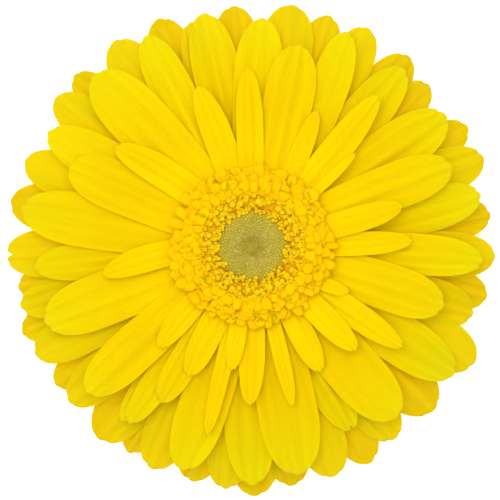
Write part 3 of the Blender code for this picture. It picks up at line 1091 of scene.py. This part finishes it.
def bud_skin():
    """Waxy closed buds: three hex tones from the dimple to the rim, lighter or darker by bud."""
    material, tree = new_tree("closed_bud_skin")
    place = add_node(tree, "ShaderNodeTexCoord").outputs["Object"]
    tone = add_node(tree, "ShaderNodeAttribute", {"attribute_name": TONE}).outputs["Fac"]
    radius = distance_out(tree, place)
    shares = []
    for start, end in (DIMPLE_SPAN, RIM_SPAN):
        span = {"Value": radius, "From Min": start * MM, "From Max": end * MM}
        shares.append(add_node(tree, MAP_RANGE, SMOOTH, span).outputs[0])
    colour = linear(BUD_COLOURS[0])
    for share, hex_text in zip(shares, BUD_COLOURS[1:]):
        layer = {MIX_FACTOR: share, MIX_FIRST: colour, MIX_SECOND: linear(hex_text)}
        colour = add_node(tree, MIX, OF_COLOURS, layer).outputs[MIX_RESULT]
    by_bud = {"Value": tone, "To Min": 0.88, "To Max": 1.1}
    lightness = add_node(tree, MAP_RANGE, inputs=by_bud).outputs[0]
    varied = {"Value": lightness, "Color": colour}
    wax = {
        "Base Color": add_node(tree, "ShaderNodeHueSaturation", inputs=varied).outputs[0],
        "Roughness": 0.6,
        "IOR": 1.45,
        "Specular IOR Level": 0.3,
        "Subsurface Weight": 0.1,
        "Subsurface Radius": (0.8, 0.8, 0.2),
        "Subsurface Scale": 0.4 * MM,
    }
    return finish_material(material, wax)


def bristle_skin():
    """Dry straw, slightly streaked."""
    material, tree = new_tree("dry_bristle")
    colour = two_tones(tree, "c4b239", "ddcd53", 1 / (STREAK_SIZE * MM), 1.0)
    straw = {"Base Color": colour, "Roughness": 0.7, "Specular IOR Level": 0.3}
    return finish_material(material, straw)


closed_bud_skin = bud_skin()
dry_bristle = bristle_skin()
print("bud skin:", closed_bud_skin.name, "bristle:", dry_bristle.name)

# %% The buds
GOLDEN_ANGLE = 137.508
BUD_COUNT = 430
BUD_PROFILE = ((0.7, 0.0), (1.0, 0.45), (0.95, 0.7), (0.6, 0.92), (0.0, 1.0))
BUD_LENGTH = 1.6
BUD_SIDES = 7
CUSHION_TOP = 2.7
CUSHION_DIMPLE = 1.15
DIMPLE_RADIUS = 3.0
RIM_FALL = 1.2
CORE_STEPS = 8
CORE_SIDES = 36
GAP_DEPTH = 0.4


def cushion_height(radius):
    """Height of the buds' tips: a low cushion with a dimple and a rounded rim."""
    dimple = CUSHION_DIMPLE * math.exp(-((radius / DIMPLE_RADIUS) ** 2))
    rim = RIM_FALL * (radius / BUDS_RADIUS) ** 5
    return disc_bottom + CUSHION_TOP - dimple - rim


def make_buds():
    """All the buds in their spiral, over a core that closes the gaps between them."""
    builder = start_mesh()
    draw = random.Random(21)
    for number in range(BUD_COUNT):
        radius = BUDS_RADIUS * math.sqrt((number + 0.5) / BUD_COUNT)
        outwards, _ = directions(number * GOLDEN_ANGLE)
        share = radius / BUDS_RADIUS
        heading = (UP + outwards * (0.35 * share**3 - 0.25 * share)).normalized()
        size = (0.29 + 0.10 * share) * draw.uniform(0.9, 1.1)
        tip = outwards * radius + UP * (cushion_height(radius) + draw.uniform(-0.12, 0.12))
        profile = [(share_out * size, run * BUD_LENGTH) for share_out, run in BUD_PROFILE]
        foot = tip - heading * BUD_LENGTH
        add_turned(builder, foot, heading, profile, BUD_SIDES, draw.random())
    core = [(0.0, 0.05), (BUDS_RADIUS, 0.05)]
    for step in range(CORE_STEPS + 1):
        radius = BUDS_RADIUS * (1 - step / CORE_STEPS)
        core.append((radius, cushion_height(radius) - disc_bottom - GAP_DEPTH))
    # The core gets the darker tone: painted shade in the gaps between buds.
    add_turned(builder, UP * disc_bottom, UP, core, CORE_SIDES, SHADED_TONE)
    make_piece("closed_buds", builder, (closed_bud_skin,), ["disc_buds"])


make_buds()
print("buds:", BUD_COUNT)

# %% [markdown]
# ## Hairs
#
# Bristles on the disc and soft hairs on the green parts are all tapering strands. Real ones are
# about 0.05 mm thick, too fine to show here, so they are drawn about twice as thick. A strand is
# three faces around, on a path that bends.

# %% Helper for hairs
HAIR_STEPS = 3
HAIR_SIDES = 3


def add_hair(builder, foot, heading, bend, length, thickness):
    """A tapering three-sided strand from foot along heading, drawn towards bend as it goes."""
    one = heading.orthogonal().normalized()
    other = heading.cross(one).normalized()
    rings = []
    for step in range(HAIR_STEPS + 1):
        share = step / HAIR_STEPS
        centre = foot + heading * (length * share) + bend * (length * share * share)
        radius = thickness / 2 * (1 - share)
        rings.append(add_ring(builder, centre, one, other, radius, HAIR_SIDES, MIDDLE_TONE))
    bridge_all(builder, rings)


print("corners of a hair:", HAIR_STEPS * HAIR_SIDES + 1)

# %% The bristles between the buds
BRISTLE_COUNT = 3600
BRISTLE_THICKNESS = 0.12


def make_bristles():
    """Bristles rooted between the buds. Towards the rim they lean over and sweep around."""
    builder = start_mesh()
    draw = random.Random(33)
    for _ in range(BRISTLE_COUNT):
        radius = BUDS_RADIUS * math.sqrt(draw.uniform(0.02, 1.08))
        outwards, sideways = directions(draw.uniform(0, 360))
        share = min(radius / BUDS_RADIUS, 1.0)
        foot = outwards * radius + UP * (cushion_height(radius) - 0.5)
        around = sideways * draw.uniform(0.3, 0.9) * share
        rise = UP * (0.8 - 0.45 * share)
        heading = (rise + around + outwards * draw.uniform(-0.25, 0.1)).normalized()
        bend = around * 0.6 - UP * 0.3 * share
        add_hair(builder, foot, heading, bend, draw.uniform(0.8, 1.5), BRISTLE_THICKNESS)
    make_piece("disc_bristles", builder, (dry_bristle,), ["disc_buds"])


make_bristles()
print("bristles:", BRISTLE_COUNT)

# %% [markdown]
# ## The floret bed
#
# Under the florets their tubes stand packed together on the receptacle, with dry hairs between
# them, and the rays grow out of this wall. Only its side shows, between the rows. So a ring of
# slender tubes is turned and placed in front of a plain core, with hairs in the seams.

# %% The floret bed
BED_CORE = ((0.0, 12.0), (11.4, 12.0), (12.6, 12.6), (12.7, 19.2), (0.0, 19.2))
TUBE_COUNT = 84
TUBE_RADIUS = 12.95
TUBE_SIDES = 8
TUBE_PROFILE = ((0.34, 12.7), (0.44, 14.0), (0.40, 16.5), (0.50, 19.3), (0.0, 19.4))
BED_HAIRS = 500
BED_HAIR_THICKNESS = 0.1

# The darker green below 14.2 mm is partly the tubes' own green base and partly painted shade under
# the rays.
bed_skin = grainy_skin("floret_tube_skin", "e2d680", "f3eaa8", "93a455", 14.2, 12.8)


def make_bed():
    """The core, the ring of tubes and the hairs in their seams, in one piece."""
    builder = start_mesh()
    draw = random.Random(61)
    # The core gets the darker tone: painted shade behind the tubes.
    add_turned(builder, Vector(), UP, BED_CORE, BED_SIDES, SHADED_TONE)
    for place in range(TUBE_COUNT):
        outwards, _ = directions(360 * place / TUBE_COUNT)
        add_turned(builder, outwards * TUBE_RADIUS, UP, TUBE_PROFILE, TUBE_SIDES, draw.random())
    for _ in range(BED_HAIRS):
        outwards, sideways = directions(draw.uniform(0, 360))
        foot = outwards * (TUBE_RADIUS + 0.25) + UP * draw.uniform(13.0, 18.0)
        heading = (UP + outwards * 0.15 + sideways * draw.uniform(-0.2, 0.2)).normalized()
        bend = outwards * 0.05
        add_hair(builder, foot, heading, bend, draw.uniform(1.0, 1.6), BED_HAIR_THICKNESS)
    make_piece("floret_tubes", builder, (bed_skin,), ["floret_bed"])


make_bed()
print("floret tubes:", TUBE_COUNT)

# %% [markdown]
# ## The cup of bracts
#
# Three whorls of narrow green bracts hold the head from below. Each is a lance-shaped leaf about
# 0.4 mm thick that hugs the cup, with a keel down its middle, a darker, purplish tip and soft
# white hairs. Its skin has a weak waxy sheen, which the lengthways veins break up. They are sheets
# again, on balls about one centre, and the hairs are strands.

# %% Skin of the green parts
LEAF_VEIN_SPACING = 0.5
LEAF_VEINS_PER_MM_ALONG = 0.15
LEAF_VEIN_RELIEF = 0.08
HAIR_MOTTLE = 1.5


def leaf_skin(name, low, high, end, end_from, end_to):
    """Green tissue with lengthways veins, turning to a third hex colour between two lengths."""
    material, tree = new_tree(name)
    place = add_node(tree, "ShaderNodeUVMap", {"uv_map": PETAL_MAP}).outputs["UV"]
    along = add_node(tree, "ShaderNodeSeparateXYZ", inputs={"Vector": place}).outputs["Y"]
    scale = (1 / LEAF_VEIN_SPACING, LEAF_VEINS_PER_MM_ALONG, 1.0)
    drawn_out = {"Vector": place, "Scale": scale}
    stretched = add_node(tree, "ShaderNodeMapping", inputs=drawn_out).outputs[0]
    cells = {"Vector": stretched, "Scale": 1.0, "Detail": 3.0}
    veins = add_node(tree, NOISE, inputs=cells).outputs["Fac"]
    greens = {MIX_FACTOR: veins, MIX_FIRST: linear(low), MIX_SECOND: linear(high)}
    green = add_node(tree, MIX, OF_COLOURS, greens).outputs[MIX_RESULT]
    near_end = {"Value": along, "From Min": end_from, "From Max": end_to}
    end_share = add_node(tree, MAP_RANGE, inputs=near_end).outputs[0]
    layers = {MIX_FACTOR: end_share, MIX_FIRST: green, MIX_SECOND: linear(end)}
    whole = add_node(tree, MIX, OF_COLOURS, layers).outputs[MIX_RESULT]
    raised = {"Height": veins, "Strength": 0.5, "Distance": LEAF_VEIN_RELIEF * MM}
    tissue = {
        "Base Color": whole,
        "Roughness": 0.58,
        "Normal": add_node(tree, "ShaderNodeBump", inputs=raised).outputs[0],
        "IOR": 1.42,
        "Specular IOR Level": 0.4,
        "Subsurface Weight": 0.08,
        "Subsurface Radius": (0.3, 0.6, 0.1),
        "Subsurface Scale": 0.5 * MM,
    }
    return finish_material(material, tissue)


def hair_skin():
    """Soft plant hairs: nearly white, with a slight change from root to root."""
    material, tree = new_tree("soft_plant_hair")
    colour = two_tones(tree, "c9cfb0", "e4e8d4", 1 / (HAIR_MOTTLE * MM))
    pale = {"Base Color": colour, "Roughness": 0.6, "Specular IOR Level": 0.4}
    return finish_material(material, pale)


bract_skin = leaf_skin("bract_skin", "596d2f", "83984a", "614839", 9.0, 15.0)
plant_hair = hair_skin()
print("bract skin:", bract_skin.name)

# %% The bracts
CUP_CENTRE = Vector((0.0, 0.0, 18.3))
FIRST_BRACT_RADIUS = 13.5
BRACT_THICKNESS = 0.4
BRACT_STEP = 0.9
BRACT_START_RADIUS = 3.2
BRACTS_IN_WHORL = 16
BRACT_ROWS = 18
BRACT_COLUMNS = 8
WHORLS = (("inner_bracts", 0, 62.5), ("middle_bracts", 1, 52.0), ("outer_bracts", 2, 40.0))
HAIRS_ON_BRACT = 26
BRACT_HAIR_THICKNESS = 0.09
MM_PER_DEGREE = 14 / 60
KEEL_HEIGHT = 0.14
KEEL_WIDTH = 0.2
EDGE_DROP = 0.18
EDGE_TUCK = 0.1
BROADEST_AT = 0.4


def cup_normal(down_angle, around):
    """The direction out of the cup's ball, at an angle up from straight down."""
    outwards, _ = directions(around)
    turn = math.radians(down_angle)
    return outwards * math.sin(turn) - UP * math.cos(turn)


def bract_half(share, width):
    """Half a bract's width: broad low down, and drawn out to a point."""
    swell = 0.62 + 0.38 * risen(share / BROADEST_AT)
    point = max(share - BROADEST_AT, 0.0) / (1 - BROADEST_AT)
    return max(width / 2 * swell * (1 - point**1.7), 0.04)


def add_bract(builder, layer, around, tip_angle, draw):
    """Adds one bract on its ball, and returns its grid, on which its hairs may stand."""
    outer = FIRST_BRACT_RADIUS + BRACT_STEP * layer + BRACT_THICKNESS + draw.uniform(-0.04, 0.06)
    start_angle = math.degrees(math.asin(BRACT_START_RADIUS / outer))
    tip = tip_angle + draw.uniform(-2.5, 1.0)
    width = (4.3 - 0.4 * layer) * draw.uniform(0.92, 1.06)
    _, sideways = directions(around)
    rows = []
    for step in range(BRACT_ROWS + 1):
        share = step / BRACT_ROWS
        climb = (tip - start_angle) * share
        normal = cup_normal(start_angle + climb, around)
        half = bract_half(share, width)
        line = []
        for column in range(BRACT_COLUMNS + 1):
            across = 1 - 2 * column / BRACT_COLUMNS
            keel = KEEL_HEIGHT * math.exp(-((across / KEEL_WIDTH) ** 2)) - EDGE_DROP * across**2
            rise = keel + EDGE_TUCK * across
            point = CUP_CENTRE + normal * (outer + rise) + sideways * (across * half)
            line.append((point, across * half, climb * MM_PER_DEGREE))
        rows.append(line)
    add_sheet(builder, rows, draw.random())
    return rows


def make_whorl(name, layer, tip_angle):
    """One whorl of bracts in one piece, and their hairs in another."""
    builder = start_mesh()
    hairs = start_mesh()
    draw = random.Random(500 + layer)
    for place in range(BRACTS_IN_WHORL):
        around = 360 * (place + 0.5 * (layer % 2)) / BRACTS_IN_WHORL
        rows = add_bract(builder, layer, around, tip_angle, draw)
        for _ in range(HAIRS_ON_BRACT):
            step = draw.randrange(1, BRACT_ROWS)
            column = draw.randrange(0, BRACT_COLUMNS + 1)
            foot = rows[step][column][0]
            normal = (foot - CUP_CENTRE).normalized()
            tipwards = (rows[step + 1][column][0] - foot).normalized()
            heading = (normal * 0.5 + tipwards * 0.8).normalized()
            root = foot - normal * 0.05
            length = draw.uniform(0.7, 1.3)
            add_hair(hairs, root, heading, tipwards * 0.2, length, BRACT_HAIR_THICKNESS)
    make_piece(f"{name}_leaves", builder, (bract_skin,), [name], BRACT_THICKNESS)
    make_piece(f"{name}_hairs", hairs, (plant_hair,), [name])


for name, layer, tip_angle in WHORLS:
    make_whorl(name, layer, tip_angle)
print("bracts:", BRACTS_IN_WHORL * len(WHORLS))

# %% [markdown]
# ## The cut stalk
#
# The stalk was cut 5 mm below the cup. It is green, finely ribbed and hairy. Its cut face shows
# moist pale pith, with a ring of darker strands 0.6 mm apart just inside the skin. A ribbed profile
# is turned ring by ring, because the ribs change the radius as it goes around.

# %% The stalk
STALK_SIDES = 96
STALK_RIBS = 16
STALK_RIB_DEPTH = 0.05
STALK_PROFILE = ((2.5, 0.0), (2.62, 0.12), (2.6, 1.4), (2.64, 3.0), (2.85, 4.4), (3.5, 5.3))
CUT_RINGS = ((0.93, 0.05), (0.86, 0.0), (0.6, 0.04), (0.3, 0.07), (0.0, 0.08))
STALK_HAIRS = 220
STALK_HAIR_ROOT = 2.52
STALK_HAIR_THICKNESS = 0.08


def stalk_ring(builder, radius, height, ribs):
    """A ring of the stalk, its radius pulled in between the ribs, or one point at radius 0."""
    if not radius:
        return [builder.verts.new(UP * (height * MM))]
    ring = []
    for side in range(STALK_SIDES):
        turn = math.tau * side / STALK_SIDES
        pull = ribs * STALK_RIB_DEPTH * (1 - abs(math.cos(turn * STALK_RIBS / 2)))
        outwards = Vector((math.cos(turn), math.sin(turn), 0.0))
        ring.append(builder.verts.new((outwards * (radius - pull) + UP * height) * MM))
    return ring


def make_stalk(skin, cut_face):
    """The ribbed stalk with its cut face in one piece, and its hairs in another."""
    builder = start_mesh()
    hairs = start_mesh()
    draw = random.Random(91)
    sides = [stalk_ring(builder, radius, height, 1) for radius, height in STALK_PROFILE]
    bridge_all(builder, sides)
    first_radius = STALK_PROFILE[0][0]
    cut = [stalk_ring(builder, first_radius * share, rise, 0) for share, rise in CUT_RINGS]
    already = set(builder.faces)
    for ring, following in zip([sides[0]] + cut, cut):
        bridge(builder, following, ring)
    for face in set(builder.faces) - already:
        face.material_index = 1
    for _ in range(STALK_HAIRS):
        outwards, _ = directions(draw.uniform(0, 360))
        height = draw.uniform(0.6, 4.3)
        heading = (outwards + UP * draw.uniform(-0.2, 0.6)).normalized()
        foot = outwards * STALK_HAIR_ROOT + UP * height
        bend = UP * draw.uniform(-0.2, 0.2)
        length = draw.uniform(0.5, 1.0)
        add_hair(hairs, foot, heading, bend, length, STALK_HAIR_THICKNESS)
    make_piece("stalk_end", builder, (skin, cut_face), ["stem_stub"])
    make_piece("stalk_hairs", hairs, (plant_hair,), ["stem_stub"])


print("rings of the stalk and its cut face:", len(STALK_PROFILE) + len(CUT_RINGS))

# %% Skin of the stalk and its cut face
STRAND_SPACING = 0.6
PAST_THE_END = (90.0, 100.0)


def ringed_pith(name, pith, strand, edge, radius):
    """Cut pith: pale in the middle, a broken ring of darker strands, and a green edge."""
    material, tree = new_tree(name)
    place = add_node(tree, "ShaderNodeTexCoord").outputs["Object"]
    out = distance_out(tree, place)
    spacing = {"Vector": place, "Scale": 1 / (STRAND_SPACING * MM)}
    strands = add_node(tree, "ShaderNodeTexVoronoi", inputs=spacing).outputs["Distance"]
    ring_span = {"Value": out, "From Min": radius * 0.62 * MM, "From Max": radius * 0.8 * MM}
    in_ring = add_node(tree, MAP_RANGE, inputs=ring_span).outputs[0]
    clamped_product = {"operation": "MULTIPLY", "use_clamp": True}
    spots = add_node(tree, "ShaderNodeMath", clamped_product, {0: in_ring, 1: strands}).outputs[0]
    dotted = {MIX_FACTOR: spots, MIX_FIRST: linear(pith), MIX_SECOND: linear(strand)}
    inner = add_node(tree, MIX, OF_COLOURS, dotted).outputs[MIX_RESULT]
    edge_span = {"Value": out, "From Min": radius * 0.88 * MM, "From Max": radius * 0.98 * MM}
    at_edge = add_node(tree, MAP_RANGE, inputs=edge_span).outputs[0]
    layers = {MIX_FACTOR: at_edge, MIX_FIRST: inner, MIX_SECOND: linear(edge)}
    whole = add_node(tree, MIX, OF_COLOURS, layers).outputs[MIX_RESULT]
    moist = {"Base Color": whole, "Roughness": 0.5, "Specular IOR Level": 0.4}
    return finish_material(material, moist)


stalk_skin = leaf_skin("stalk_skin", "648037", "85a14e", "85a14e", *PAST_THE_END)
cut_pith = ringed_pith("cut_stalk_pith", "dfe4bc", "8fa35a", "6f8a3c", STALK_PROFILE[0][0])
make_stalk(stalk_skin, cut_pith)
print("stalk hairs:", STALK_HAIRS)

# %% [markdown]
# ## The receptacle
#
# The swollen end of the stalk is right as its solid has it: a smooth bowl that only shows in the
# chinks between bracts. It keeps its solid. Its skin is pale green with darker flecks, like the
# cut stalk's, at its own radius.

# %% The receptacle
RECEPTACLE_RADIUS = 13.0

receptacle_skin = ringed_pith("receptacle_skin", "c6cf98", "9dac66", "8a9c50", RECEPTACLE_RADIUS)
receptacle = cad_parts["receptacle"]
receptacle.data.materials.clear()
receptacle.data.materials.append(receptacle_skin)
print("kept solid:", receptacle.name)
